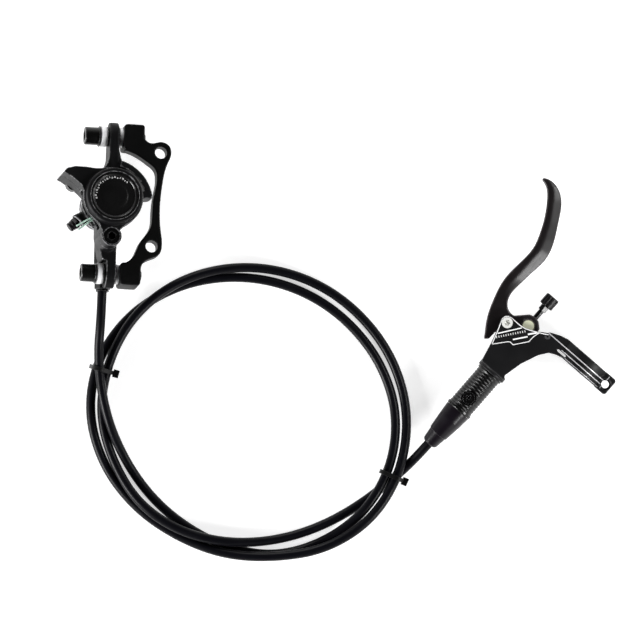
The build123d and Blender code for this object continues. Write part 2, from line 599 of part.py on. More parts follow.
with BuildPart() as caliper_side_tie:
    first = Plane(origin=(*COIL_AT, 0), x_dir=(*polar(1, TIE_ONE), 0), z_dir=(*polar(1, TIE_ONE - 90), 0))
    with BuildSketch(first.offset(-1.1)):
        with Locations(*ties["caliper side"]):
            Circle(HOSE_D / 2 + 1.5)
        make_hull()
    extrude(amount=2.2)
    with BuildSketch(first.offset(-1.1)):
        with Locations(*ties["caliper side"]):
            Circle(HOSE_D / 2 + 0.7)
        make_hull()
    extrude(amount=2.2, mode=Mode.SUBTRACT)
    # head on the inside of the coil
    with BuildSketch(first.offset(-2.1)):
        inmost = min(ties["caliper side"])
        with Locations((inmost[0] - HOSE_D / 2 - 2.55, inmost[1])):
            Rectangle(3.2, 4.4)
    extrude(amount=4.2)
caliper_side_tie.part.label = "caliper_side_tie"
export_step(caliper_side_tie.part, "parts/caliper_side_tie.step")

with BuildPart() as lever_side_tie:
    second = Plane(origin=(*COIL_AT, 0), x_dir=(*polar(1, TIE_TWO), 0), z_dir=(*polar(1, TIE_TWO - 90), 0))
    with BuildSketch(second.offset(-1.1)):
        with Locations(*ties["lever side"]):
            Circle(HOSE_D / 2 + 1.5)
        make_hull()
    extrude(amount=2.2)
    with BuildSketch(second.offset(-1.1)):
        with Locations(*ties["lever side"]):
            Circle(HOSE_D / 2 + 0.7)
        make_hull()
    extrude(amount=2.2, mode=Mode.SUBTRACT)
    # head on the outside of the coil
    with BuildSketch(second.offset(-2.1)):
        outmost = max(ties["lever side"])
        with Locations((outmost[0] + HOSE_D / 2 + 2.5, outmost[1] - 1.6)):
            Rectangle(3.2, 4.4)
    extrude(amount=4.2)
lever_side_tie.part.label = "lever_side_tie"
export_step(lever_side_tie.part, "parts/lever_side_tie.step")

# Lever body: flat cheeks round the blade's slot, the tube of the master bore
# towards the hose, and the handlebar clamp at the other end.
BODY_OUTLINE = ((0, 7.9), (10.4, 10.2), (15.3, 11.6), (17.7, 12.4), (23.5, 14.7), (26.3, 14.3),
                (28.1, 11.7), (28.1, 8.5), (28.0, 4.4), (28.5, 1.6), (31, -3.9), (34.1, -8.8),
                (35.4, -9.9), (37.8, -15.4), (38.8, -19.8), (38.8, -24), (29.4, -24),
                (28.2, -19.6), (26.5, -16.3), (21.9, -12.9), (12.5, -9), (2.3, -6.6), (0, -7.9))
with BuildPart() as lever_body:
    with BuildSketch(set_in(LEV, (0, 0, -BODY_HALF))):
        Polygon(*BODY_OUTLINE, align=None)
    extrude(amount=2 * BODY_HALF)
    with Locations(along_x(LEV, (-28.2, 0, 0))):
        Cylinder(6.2, 30, align=BASE)
    with Locations(along_x(LEV, (-1.9, 0, 0))):
        Cylinder(8.25, 3, align=BASE)
    for low, high, radius in ((29.2, 32.2, 14.3), (32.1, 34.5, 13.8), (34.4, 38.8, CLAMP_R)):
        with Locations(along_x(LEV, (low, CLAMP_Y, 0))):
            Cylinder(radius, high - low, align=BASE)
    with BuildSketch(set_in(LEV, (33.95, -49.4, -7))):
        RectangleRounded(10.1, 8, 1.5)
    extrude(amount=14)
    # bore of the handlebar and the slit of the clamp
    with Locations(along_x(LEV, (20, CLAMP_Y, 0))):
        Cylinder(BAR_R, 30, align=BASE, mode=Mode.SUBTRACT)
    with Locations(set_in(LEV, (34, -49.5, 0))):
        Box(12, 9.8, 1.2, mode=Mode.SUBTRACT)
    with Locations(set_in(LEV, (33.6, -49.9, -8))):
        Cylinder(2.1, 16, align=BASE, mode=Mode.SUBTRACT)
    with Locations(set_in(LEV, (33.6, -49.9, 5))):
        Cylinder(3.0, 3, align=BASE, mode=Mode.SUBTRACT)
    with Locations(set_in(LEV, (30.9, -21.6, 0))):
        Box(1.2, 6, 32, mode=Mode.SUBTRACT)
    # slot of the blade and the hole of its pivot
    with BuildSketch(set_in(LEV, (0, 0, -SLOT_HALF))):
        Polygon((15.5, 30), (15.5, -5.6), (22, -7.5), (36, -8.4), (50, -8.4), (50, 30), align=None)
    extrude(amount=2 * SLOT_HALF, mode=Mode.SUBTRACT)
    with Locations(set_in(LEV, (*PIVOT, -BODY_HALF - 1))):
        Cylinder(2.0 + SLIDE, 2 * BODY_HALF + 2, align=BASE, mode=Mode.SUBTRACT)
    with Locations(set_in(LEV, (*PIVOT, 7.6))):
        Cylinder(3.05, 3, align=BASE, mode=Mode.SUBTRACT)
    # bores along the tube
    with Locations(along_x(LEV, (-15.5, 0, 0))):
        Cylinder(MASTER_R, 33, align=BASE, mode=Mode.SUBTRACT)
    with Locations(along_x(LEV, (13.9, 0, 0))):
        Cylinder(5.1, 0.9, align=BASE, mode=Mode.SUBTRACT)
    with Locations(along_x(LEV, (-23.2, 0, 0))):
        Cylinder(1.2, 10, align=BASE, mode=Mode.SUBTRACT)
    with Locations(along_x(LEV, (-30, 0, 0))):
        Cylinder(3.5 + SLIDE, 7.3, align=BASE, mode=Mode.SUBTRACT)
    with Locations(set_in(LEV, (-19.3, 0.0, 0))):
        Cylinder(1.0, 8, align=BASE, mode=Mode.SUBTRACT)
    with Locations(set_in(LEV, (-19.3, 0.0, 2.6))):
        Cylinder(2.0 + SLIDE, 8, align=BASE, mode=Mode.SUBTRACT)
    with Locations(set_in(LEV, (32.7, -10.1, 5))):
        Cylinder(1.5 + SLIDE, 6, align=BASE, mode=Mode.SUBTRACT)
lever_body.part.label = "lever_body"
export_step(lever_body.part, "parts/lever_body.step")

with BuildPart() as reservoir_sleeve:
    with BuildSketch(LEV):
        Polygon((-28.15, 6.25), (-28.15, 7.2), (-27.6, 7.5), (-26.4, 7.5), (-26, 7.0), (-3.4, 7.0),
                (-3, 7.5), (-2, 7.5), (-2, 6.25), align=None)
    revolve(axis=Axis(LEV.origin, LEV.x_dir))
    with Locations(set_in(LEV, (-19.3, 0.0, 3))):
        Cylinder(3.4, 8, align=BASE, mode=Mode.SUBTRACT)
reservoir_sleeve.part.label = "reservoir_sleeve"
export_step(reservoir_sleeve.part, "parts/reservoir_sleeve.step")

with BuildPart() as lever_bleed_screw:
    with Locations(set_in(LEV, (-19.3, 0.0, 3))):
        Cylinder(2.0, 4, align=BASE)
    with Locations(set_in(LEV, (-19.3, 0.0, 6.3))):
        Cylinder(3.25, 1.5, align=BASE)
    with Locations(set_in(LEV, (-19.3, 0.0, 7.2))):
        Box(3.6, 0.8, 2, align=BASE, mode=Mode.SUBTRACT)
        Box(0.8, 3.6, 2, align=BASE, mode=Mode.SUBTRACT)
lever_bleed_screw.part.label = "lever_bleed_screw"
export_step(lever_bleed_screw.part, "parts/lever_bleed_screw.step")

# Rubber boot that follows the hose down from the lever.
with BuildLine() as boot_line:
    FilletPolyline(*route[-3:], radius=hose_radii[-1])
boot_wire = boot_line.wire()
boot_length = boot_wire.length
with BuildPart() as hose_boot:
    for back, radius in ((5.3, 7.2), (12, 6.6), (21, 5.5), (21.2, 5.1), (27.5, 4.3), (28.1, 3.9)):
        at = boot_wire.position_at(1 - back / boot_length)
        way = boot_wire.tangent_at(1 - back / boot_length)
        with BuildSketch(Plane(origin=at, z_dir=way)):
            Circle(radius)
    loft(ruled=True)
    with BuildSketch(Plane(origin=boot_wire.position_at(0), z_dir=boot_wire.tangent_at(0))):
        Circle(HOSE_D / 2 + SLIDE)
    sweep(path=boot_wire, mode=Mode.SUBTRACT)
    with Locations(along_x(LEV, (-34.4, 0, 0))):
        Cylinder(4.9, 8, align=BASE, mode=Mode.SUBTRACT)
hose_boot.part.label = "hose_boot"
export_step(hose_boot.part, "parts/hose_boot.step")

with BuildPart() as lever_hose_nut:
    with Locations(along_x(LEV, (-29, 0, 0))):
        Cylinder(3.5, 3.2, align=BASE)
    with BuildSketch(along_x(LEV, (-33.2, 0, 0))):
        RegularPolygon(4.5, 6)
    extrude(amount=4.9)
    with Locations(along_x(LEV, (-35, 0, 0))):
        Cylinder(HOSE_D / 2 + SLIDE, 12, align=BASE, mode=Mode.SUBTRACT)
lever_hose_nut.part.label = "lever_hose_nut"
export_step(lever_hose_nut.part, "parts/lever_hose_nut.step")

with BuildPart() as lever_olive:
    with BuildSketch(LEV):
        Polygon((-25.75, 2.55), (-25.4, 3.2), (-24.6, 3.45), (-23.7, 3.2), (-23.3, 2.55), align=None)
    revolve(axis=Axis(LEV.origin, LEV.x_dir))
lever_olive.part.label = "lever_olive"
export_step(lever_olive.part, "parts/lever_olive.step")

# Master piston with its two cups, the return spring and the circlip.
with BuildPart() as master_piston:
    with BuildSketch(LEV):
        Polygon((-5, 0), (-5, 4.0), (-4.6, 4.45), (-3.6, 4.45), (-3.6, 3.0), (-1.6, 3.0),
                (-1.6, 4.45), (-0.6, 4.45), (0.2, 2.6), (5.6, 2.6), (6.4, 4.45), (7.2, 4.45),
                (7.2, 3.6), (8.6, 3.6), (8.6, 4.45), (13, 4.45), (13, 3.2), (9.6, 3.1),
                (9.0, 1.6), (9.0, 0), align=None)
    revolve(axis=Axis(LEV.origin, LEV.x_dir))
master_piston.part.label = "master_piston"
export_step(master_piston.part, "parts/master_piston.step")

with BuildPart() as primary_cup:
    with BuildSketch(LEV):
        Polygon((-3.5, 3.05), (-3.5, 4.45), (-2.6, 4.2), (-1.7, 4.4), (-1.7, 3.05), align=None)
    revolve(axis=Axis(LEV.origin, LEV.x_dir))
primary_cup.part.label = "primary_cup"
export_step(primary_cup.part, "parts/primary_cup.step")

with BuildPart() as secondary_cup:
    with BuildSketch(LEV):
        Polygon((7.3, 3.65), (7.3, 4.45), (8.5, 4.45), (8.5, 3.65), align=None)
    revolve(axis=Axis(LEV.origin, LEV.x_dir))
secondary_cup.part.label = "secondary_cup"
export_step(secondary_cup.part, "parts/secondary_cup.step")

with BuildPart() as return_spring:
    spring_base = along_x(LEV, (-15.0, 0, 0))
    with BuildLine():
        spring_line = Helix(2.3, 9.2, 3.3).locate(spring_base.location)
    with BuildSketch(Plane(origin=spring_line @ 0, z_dir=spring_line % 0)):
        Circle(0.4)
    sweep(path=spring_line, is_frenet=True)
return_spring.part.label = "return_spring"
export_step(return_spring.part, "parts/return_spring.step")

with BuildPart() as piston_circlip:
    with BuildSketch(along_x(LEV, (14.0, 0, 0))):
        Circle(5.0)
        Circle(3.6, mode=Mode.SUBTRACT)
        with Locations((0, 5)):
            Rectangle(3, 4, mode=Mode.SUBTRACT)
    extrude(amount=0.7)
piston_circlip.part.label = "piston_circlip"
export_step(piston_circlip.part, "parts/piston_circlip.step")

# Curved blade with its hub and the forked bracket of the trunnion barrel.
with BuildPart() as lever_blade:
    with BuildSketch(set_in(LEV, (0, 0, -BLADE_HALF))):
        with BuildLine():
            Spline((13.3, 16.9), (21.8, 21.9), (29.9, 24.8), (40, 27.1), (51.6, 26.8), (64.6, 26.7),
                   (70.4, 28.5), (77.4, 31.5), (87.4, 37.7), (90.9, 40.8), (93.4, 46.1))
            ThreePointArc((93.4, 46.1), (94.5, 46.9), (95.4, 46))
            Spline((95.4, 46), (96.5, 42.2), (93.6, 33.3), (82.7, 25.4), (68.8, 18.6), (62.2, 17.4),
                   (52.3, 18.3), (42.9, 19.2), (35.5, 19.0), (31.2, 16.6), (29.4, 10.6))
            Polyline((29.4, 10.6), (35.5, 4.6), (36.2, 1.5), (35.7, -1.3), (32.9, -4.5), (29, -4.6),
                     (26.0, -2.2), (24.6, 1.4), (21.2, 5.2), (19.6, 8.8), (16.4, 12.4),
                     (11.4, 12.6), (9.6, 14.6), (13.3, 16.9))
        make_face()
    extrude(amount=2 * BLADE_HALF)
    with BuildSketch(set_in(LEV, (0, 0, -2.2))):
        Polygon((15, -8), (15, 5.6), (26, 5.6), (38.5, 6.4), (38.5, -8), align=None)
    extrude(amount=4.4, mode=Mode.SUBTRACT)
    with Locations(set_in(LEV, (*PIVOT, -8))):
        Cylinder(3.0, 16, align=BASE, mode=Mode.SUBTRACT)
    with Locations(set_in(LEV, (*BARREL, -8))):
        Cylinder(3.15 + SLIDE, 16, align=BASE, mode=Mode.SUBTRACT)
lever_blade.part.label = "lever_blade"
export_step(lever_blade.part, "parts/lever_blade.step")

with BuildPart() as pivot_screw:
    with Locations(set_in(LEV, (*PIVOT, -8.8))):
        Cylinder(2.0, 17, align=BASE)
    with Locations(set_in(LEV, (*PIVOT, 7.65))):
        Cylinder(2.95, 1.7, align=BASE)
    with BuildSketch(set_in(LEV, (*PIVOT, 8.2))):
        RegularPolygon(1.5, 6)
    extrude(amount=2, mode=Mode.SUBTRACT)
pivot_screw.part.label = "pivot_screw"
export_step(pivot_screw.part, "parts/pivot_screw.step")

with BuildPart() as upper_pivot_bush:
    with BuildSketch(set_in(LEV, (*PIVOT, 0.3))):
        Circle(3.0 - SET)
        Circle(2.0 + SLIDE, mode=Mode.SUBTRACT)
    extrude(amount=4.7)
    with BuildSketch(set_in(LEV, (*PIVOT, 5.0 + SET))):
        Circle(3.6)
        Circle(2.0 + SLIDE, mode=Mode.SUBTRACT)
    extrude(amount=0.2)
    with BuildSketch(set_in(LEV, (*PIVOT, 4.9))):
        Circle(3.0 - SET)
        Circle(2.0 + SLIDE, mode=Mode.SUBTRACT)
    extrude(amount=0.2)
upper_pivot_bush.part.label = "upper_pivot_bush"
export_step(upper_pivot_bush.part, "parts/upper_pivot_bush.step")

with BuildPart() as lower_pivot_bush:
    with BuildSketch(set_in(LEV, (*PIVOT, -5.1))):
        Circle(3.0 - SET)
        Circle(2.0 + SLIDE, mode=Mode.SUBTRACT)
    extrude(amount=4.8)
    with BuildSketch(set_in(LEV, (*PIVOT, -5.2 - SET))):
        Circle(3.6)
        Circle(2.0 + SLIDE, mode=Mode.SUBTRACT)
    extrude(amount=0.2)
lower_pivot_bush.part.label = "lower_pivot_bush"
export_step(lower_pivot_bush.part, "parts/lower_pivot_bush.step")

# Trunnion barrel, the adjuster's push rod through it, its lock nut and knob.
with BuildPart() as trunnion_barrel:
    with Locations(set_in(LEV, (*BARREL, -5.2))):
        Cylinder(3.15, 10.4, align=BASE)
    with Locations(along_x(LEV, (20, BARREL[1], 0))):
        Cylinder(1.5 + SLIDE, 20, align=BASE, mode=Mode.SUBTRACT)
trunnion_barrel.part.label = "trunnion_barrel"
export_step(trunnion_barrel.part, "parts/trunnion_barrel.step")

ROD = set_in(LEV, (0, BARREL[1], 0))
with BuildPart() as adjuster_screw:
    with BuildSketch(ROD):
        with BuildLine():
            ThreePointArc((9.3, 0), (9.3 + 1.5 * (1 - math.sqrt(0.5)), 1.5 * math.sqrt(0.5)), (10.8, 1.5))
            Polyline((10.8, 1.5), (49.6, 1.5), (49.6, 0), (9.3, 0))
        make_face()
    revolve(axis=Axis(ROD.origin, ROD.x_dir))
adjuster_screw.part.label = "adjuster_screw"
export_step(adjuster_screw.part, "parts/adjuster_screw.step")

with BuildPart() as adjuster_locknut:
    with BuildSketch(along_x(ROD, (41, 0, 0))):
        RegularPolygon(2.6, 6)
        Circle(1.5 + SET, mode=Mode.SUBTRACT)
    extrude(amount=3)
adjuster_locknut.part.label = "adjuster_locknut"
export_step(adjuster_locknut.part, "parts/adjuster_locknut.step")

with BuildPart() as adjuster_knob:
    with BuildSketch(along_x(ROD, (44.05, 0, 0))):
        Circle(KNOB_R)
    extrude(amount=6.5)
    chamfer(adjuster_knob.edges(), 0.5)
    with Locations(along_x(ROD, (44, 0, 0))):
        Cylinder(1.5 + SET, 5.8, align=BASE, mode=Mode.SUBTRACT)
    for turn in range(8):
        with Locations(set_in(ROD, (43, *polar(KNOB_R + 0.45, turn * 45)), (0, 90, 0))):
            Cylinder(0.9, 9, align=BASE, mode=Mode.SUBTRACT)
adjuster_knob.part.label = "adjuster_knob"
export_step(adjuster_knob.part, "parts/adjuster_knob.step")

with BuildPart() as body_grub_screw:
    with Locations(set_in(LEV, (32.7, -10.1, 5.2))):
        Cylinder(1.5, 3.5, align=BASE)
    with BuildSketch(set_in(LEV, (32.7, -10.1, 7.4))):
        RegularPolygon(0.8, 6)
    extrude(amount=3, mode=Mode.SUBTRACT)
body_grub_screw.part.label = "body_grub_screw"
export_step(body_grub_screw.part, "parts/body_grub_screw.step")
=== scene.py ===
import math

import bmesh
import bpy
import numpy as np
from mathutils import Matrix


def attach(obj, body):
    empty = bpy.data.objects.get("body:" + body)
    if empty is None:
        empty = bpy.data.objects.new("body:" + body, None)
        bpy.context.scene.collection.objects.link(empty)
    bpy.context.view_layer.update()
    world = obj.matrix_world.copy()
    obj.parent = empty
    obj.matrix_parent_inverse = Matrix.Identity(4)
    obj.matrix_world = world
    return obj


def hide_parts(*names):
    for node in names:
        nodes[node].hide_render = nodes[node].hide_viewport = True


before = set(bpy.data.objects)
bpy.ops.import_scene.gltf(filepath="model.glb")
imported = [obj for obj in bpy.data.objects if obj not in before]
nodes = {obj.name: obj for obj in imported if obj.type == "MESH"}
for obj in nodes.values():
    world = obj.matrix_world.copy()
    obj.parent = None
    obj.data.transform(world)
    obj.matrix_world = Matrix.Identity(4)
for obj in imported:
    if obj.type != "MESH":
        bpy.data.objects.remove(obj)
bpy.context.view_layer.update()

# The table and the light. A white sheet lies under the brake set. Soft lights
# stand low round it, so the castings' walls shine while their flat tops mirror
# the dark above and stay black. The camera looks straight down, far away.
LOOK_AT = (-0.00845, -0.0186)
VIEW_WIDTH = 0.3404
CAMERA_HEIGHT = 12.0
SENSOR_MM = 36
DARK_FROM = 0.55                      # the height, as a share, from which the sky is dark
TABLE_HALF = 4
TABLE_DROP = 0.0002
SHEET_LIFT = 0.6                      # glow that only the camera and mirrors see

scene = bpy.context.scene
scene.view_settings.view_transform = "Standard"


def linear(hexa):
    """An sRGB hex colour as linear r, g, b, 1: a channel over 12.92 where it is dark, and
    elsewhere (channel plus 0.055) over 1.055, to the power 2.4."""
    c = np.array([int(hexa[i:i + 2], 16) for i in (1, 3, 5)]) / 255
    c = np.where(c <= 0.04045, c / 12.92, ((c + 0.055) / 1.055) ** 2.4)
    return (*map(float, c), 1.0)


def add(tree, kind, links=(), **settings):
    """Adds a node, sets its properties, or its inputs with a space for each underline, and links
    (output, input) pairs into it, where the input is a name or a number."""
    made = tree.nodes.new(kind)
    for name, value in settings.items():
        if hasattr(made, name):
            setattr(made, name, value)
        else:
            made.inputs[name.replace("_", " ")].default_value = value
    for output, name in links:
        tree.links.new(output, made.inputs[name])
    return made


camera_data = bpy.data.cameras.new("camera")
camera_data.sensor_width = SENSOR_MM
camera_data.lens = SENSOR_MM * CAMERA_HEIGHT / VIEW_WIDTH
camera_data.clip_end = 2.5 * CAMERA_HEIGHT
camera = bpy.data.objects.new("camera", camera_data)
camera.location = (*LOOK_AT, CAMERA_HEIGHT)
scene.collection.objects.link(camera)
scene.camera = camera

world = bpy.data.worlds.new("studio")
scene.world = world
world.use_nodes = True
sky = world.node_tree
sky.nodes.clear()
direction = add(sky, "ShaderNodeTexCoord")
split = add(sky, "ShaderNodeSeparateXYZ", [(direction.outputs["Generated"], "Vector")])
ramp = add(sky, "ShaderNodeValToRGB", [(split.outputs["Z"], "Fac")])
horizon, overhead = ramp.color_ramp.elements
horizon.color = (1, 1, 1, 1)
overhead.position = DARK_FROM
overhead.color = (0.01, 0.01, 0.011, 1)
glow = add(sky, "ShaderNodeBackground", [(ramp.outputs["Color"], "Color")], Strength=1.0)
add(sky, "ShaderNodeOutputWorld", [(glow.outputs[0], "Surface")])

# Each lamp faces the middle of the table: it tilts by the arc cosine of its height
# over its distance, and turns with the direction in which it stands. The numbers
# after its place are its width in metres and its watts.
for name, place, width, watts in (
        ("left_light", (-1.38, -0.62, 0.5), 0.7, 40),
        ("right_light", (1.35, 0.35, 0.9), 0.6, 13),
        ("back_light", (-0.4, 1.4, 0.6), 0.7, 9),
        ("front_light", (1.13, -0.98, 0.87), 0.35, 18)):
    lamp_data = bpy.data.lights.new(name, "AREA")
    lamp_data.size = width
    lamp_data.energy = watts
    lamp = bpy.data.objects.new(name, lamp_data)
    lamp.location = place
    aim = np.array(place) / np.linalg.norm(place)
    lamp.rotation_euler = (math.acos(aim[2]), 0, math.atan2(aim[1], aim[0]) + math.pi / 2)
    scene.collection.objects.link(lamp)

table_mesh = bpy.data.meshes.new("table")
corners = [(x * TABLE_HALF, y * TABLE_HALF, 0) for x, y in ((-1, -1), (1, -1), (1, 1), (-1, 1))]
table_mesh.from_pydata(corners, [], [(0, 1, 2, 3)])
table = bpy.data.objects.new("table", table_mesh)
table.location.z = -TABLE_DROP
scene.collection.objects.link(table)
paper = bpy.data.materials.new("white_sheet")
paper.use_nodes = True
sheet = paper.node_tree.nodes["Principled BSDF"]
sheet.inputs["Base Color"].default_value = linear("#dcdcdc")
sheet.inputs["Roughness"].default_value = 0.9
sheet.inputs["Emission Color"].default_value = (1, 1, 1, 1)
ray = add(paper.node_tree, "ShaderNodeLightPath").outputs
seen_or_mirrored = add(paper.node_tree, "ShaderNodeMath",
                       [(ray["Is Camera Ray"], 0), (ray["Is Glossy Ray"], 1)], operation="MAXIMUM")
lift = add(paper.node_tree, "ShaderNodeMath", [(seen_or_mirrored.outputs[0], 0)],
           operation="MULTIPLY")
lift.inputs[1].default_value = SHEET_LIFT
paper.node_tree.links.new(lift.outputs[0], sheet.inputs["Emission Strength"])
table_mesh.materials.append(paper)

# The brake hose: pressure hose in a jacket of extruded black nylon, 5 mm thick. It
# leaves the caliper's nut, lies in two and a half loose turns and goes into the
# lever's boot. The jacket is even and shows a narrow soft shine along each strand.
HOSE_D = 0.005
COIL_AT = (-0.04635, -0.0681)
HOSE_BASE = 0.0026
LAYER = 0.0054
COIL_STEP = 20                        # degrees from one point of the coil to the next
COIL = np.array((                     # angle in degrees, radius in mm and layer of each point
    (160, 84.20, 1.50), (180, 75.27, 1.50), (200, 69.68, 0.10), (220, 67.71, 0.00),
    (240, 68.24, 0.00), (260, 71.54, 0.00), (280, 76.49, 0.00), (300, 78.46, 0.00),
    (320, 80.27, 1.15), (340, 79.95, 1.15), (0, 77.93, 0.10), (20, 74.26, 0.00),
    (40, 71.28, 0.00), (60, 70.21, 0.00), (80, 70.74, 0.00), (100, 72.98, 0.00),
    (120, 76.81, 0.00), (140, 81.28, 0.00), (160, 84.41, 0.31), (180, 84.31, 0.16),
    (200, 81.12, 0.00), (220, 77.39, 0.00), (240, 74.84, 0.00), (260, 75.27, 0.75),
    (280, 76.86, 1.05), (300, 82.18, 1.10), (320, 85.64, 1.35), (340, 85.53, 1.50),
    (0, 83.78, 0.10), (20, 81.06, 0.00), (40, 78.51, 0.00), (60, 77.34, 0.00),
    (80, 77.07, 0.05), (100, 77.66, 0.60), (120, 78.78, 1.00), (140, 79.36, 1.30),
    (160, 78.60, 0.62), (180, 78.30, 0.28), (200, 75.80, 0.40), (220, 74.89, 1.00),
    (240, 71.81, 1.00), (260, 69.04, 1.00), (280, 68.24, 0.10), (300, 70.16, 0.00),
    (320, 75.59, 0.00), (340, 86.70, 0.30)))
PORT_X, PORT_Z = -6.5, 5              # the hose port's line in the caliper's frame, in mm
IN_PORT, NUT_FACE, PAST_NUT = -28.3, -44.6, -56
BEFORE_BOOT, IN_BOOT = -44, -22.9     # along the lever's own x, in mm


def turned(degrees, axis):
    """Rotation matrix about x, y or z, of the turn's cosine and sine."""
    c, s = math.cos(math.radians(degrees)), math.sin(math.radians(degrees))
    return np.array({"x": ((1, 0, 0), (0, c, -s), (0, s, c)),
                     "y": ((c, 0, s), (0, 1, 0), (-s, 0, c)),
                     "z": ((c, -s, 0), (s, c, 0), (0, 0, 1))}[axis])


# Where the CAD's caliper and lever lie. The caliper leans on its hose end, and the
# lever lies flat.
CALIPER_AT = np.array((-0.11735, 0.0390, 0.0009))
CALIPER_LEAN = turned(-10.2, "x") @ turned(9.7, "y") @ turned(-1.6, "z")
LEVER_AT = np.array((0.08325, -0.0454, 0.0146))
LEVER_TURN = turned(49.0, "z")


def on_caliper(points_mm):
    """Millimetres in the caliper's own frame to metres in the row frame."""
    return CALIPER_AT + np.asarray(points_mm, float) @ CALIPER_LEAN.T / 1000


def on_lever(points_mm):
    """Millimetres in the lever's own frame to metres in the row frame."""
    return LEVER_AT + np.asarray(points_mm, float) @ LEVER_TURN.T / 1000


# Real grains of moulded, painted and plated skins are a tenth of a millimetre or
# finer. Each finish draws them coarser, at its grain_mm, so that the render shows them.
CLOUD_MM = 9
MIX_A, MIX_B, MIXED = 6, 7, 2         # numbers of a Mix node's colour sockets


def finish(name, colour, roughness, metallic=0.0, grain_mm=0.5, depth_mm=0.01, edge_mm=0.35,
           uneven=0.25, painted_edge_light="#3a3a3c", gloss=0.5):
    """A finish on object coordinates. Clouds CLOUD_MM wide move the colour by the share uneven
    and the roughness by 0.15 of itself, grains of grain_mm stand depth_mm high, and normals
    round over within edge_mm of an edge. The edge colour, the argument after uneven, is painted
    light: a painted highlight where it is paler than colour, and painted shade where it is darker.
    It shows where the rounding turns a normal by 10 to 37 degrees, cosine 0.985 to 0.8, or where
    the cast's point attribute of painted edge highlights says so."""
    material = bpy.data.materials.new(name)
    material.use_nodes = True
    tree = material.node_tree
    tree.nodes.clear()
    place = add(tree, "ShaderNodeTexCoord").outputs["Object"]
    clouds = add(tree, "ShaderNodeTexNoise", [(place, "Vector")], Scale=1000 / CLOUD_MM, Detail=3.0)
    grains = add(tree, "ShaderNodeTexNoise", [(place, "Vector")], Scale=1000 / grain_mm, Detail=2.0)
    tint = add(tree, "ShaderNodeMix", [(clouds.outputs["Fac"], "Factor")], data_type="RGBA")
    base = np.array(linear(colour)[:3])
    tint.inputs[MIX_A].default_value = (*(base * (1 - uneven)), 1)
    tint.inputs[MIX_B].default_value = (*(base * (1 + uneven)), 1)
    rough = add(tree, "ShaderNodeMapRange", [(clouds.outputs["Fac"], "Value")],
                To_Min=roughness * 0.85, To_Max=min(1.0, roughness * 1.15))
    edges = add(tree, "ShaderNodeBevel", samples=4, Radius=edge_mm / 1000)
    face = add(tree, "ShaderNodeNewGeometry")
    agree = add(tree, "ShaderNodeVectorMath",
                [(edges.outputs["Normal"], 0), (face.outputs["Normal"], 1)], operation="DOT_PRODUCT")
    rounded = add(tree, "ShaderNodeMapRange", [(agree.outputs["Value"], "Value")],
                  From_Min=0.985, From_Max=0.8)
    marked = add(tree, "ShaderNodeAttribute", attribute_name="painted_edge_highlight")
    either = add(tree, "ShaderNodeMath",
                 [(rounded.outputs["Result"], 0), (marked.outputs["Fac"], 1)], operation="MAXIMUM")
    # The edge colour is painted in where the mask says so: a painted highlight where it is paler
    # than the colour, painted shade where it is darker.
    painted_edges = add(tree, "ShaderNodeMix",
                 [(either.outputs[0], "Factor"), (tint.outputs[MIXED], MIX_A)], data_type="RGBA")
    painted_edges.inputs[MIX_B].default_value = linear(painted_edge_light)
    bump = add(tree, "ShaderNodeBump",
               [(grains.outputs["Fac"], "Height"), (edges.outputs["Normal"], "Normal")],
               Distance=depth_mm / 1000, Strength=0.6)
    shader = add(tree, "ShaderNodeBsdfPrincipled",
                 [(painted_edges.outputs[MIXED], "Base Color"), (rough.outputs["Result"], "Roughness"),
                  (bump.outputs["Normal"], "Normal")], Metallic=metallic, Specular_IOR_Level=gloss)
    add(tree, "ShaderNodeOutputMaterial", [(shader.outputs[0], "Surface")])
    return material


# A control point stands outside the spline's line, so each radius is divided by
# the cosine of half a step.
around = np.radians(COIL[:, 0])
reach = COIL[:, 1] / 1000 / math.cos(math.radians(COIL_STEP / 2))
coil_points = np.column_stack((COIL_AT[0] + reach * np.cos(around),
                               COIL_AT[1] + reach * np.sin(around),
                               HOSE_BASE + LAYER * COIL[:, 2]))
route = np.vstack((on_caliper(((PORT_X, IN_PORT, PORT_Z), (PORT_X, PAST_NUT, PORT_Z))),
                   coil_points,
                   on_lever(((BEFORE_BOOT, 0, 0), (IN_BOOT, 0, 0)))))
hose_curve = bpy.data.curves.new("brake_hose", "CURVE")
hose_curve.dimensions = "3D"
hose_curve.bevel_depth = HOSE_D / 2
hose_curve.bevel_resolution = 6
hose_curve.resolution_u = 12
hose_curve.use_fill_caps = True
spline = hose_curve.splines.new("NURBS")
spline.points.add(len(route) - 1)
spline.points.foreach_set("co", np.column_stack((route, np.ones(len(route)))).ravel())
spline.order_u = 3
spline.use_endpoint_u = True
hose = bpy.data.objects.new("brake_hose", hose_curve)
scene.collection.objects.link(hose)
hose_jacket = finish("extruded_nylon_hose", "#08080c", 0.34, grain_mm=0.8, depth_mm=0.004,
                     edge_mm=0.05, uneven=0.15, painted_edge_light="#08080c", gloss=0.12)
hose_curve.materials.append(hose_jacket)
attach(hose, "fixed")
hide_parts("hose")


# The two cable ties: moulded black nylon, each a flat band round three strands and
# a square head that grips it. Their shine is broader than the hose's, and their edges
# are painted a lighter grey as a highlight.
def dress(material, *names):
    """Gives CAD nodes a material in place of what they carry."""
    for name in names:
        nodes[name].data.materials.clear()
        nodes[name].data.materials.append(material)


tie_nylon = finish("moulded_tie_nylon", "#070707", 0.38, grain_mm=0.3, edge_mm=0.2, gloss=0.2)
dress(tie_nylon, "caliper_side_tie", "lever_side_tie")
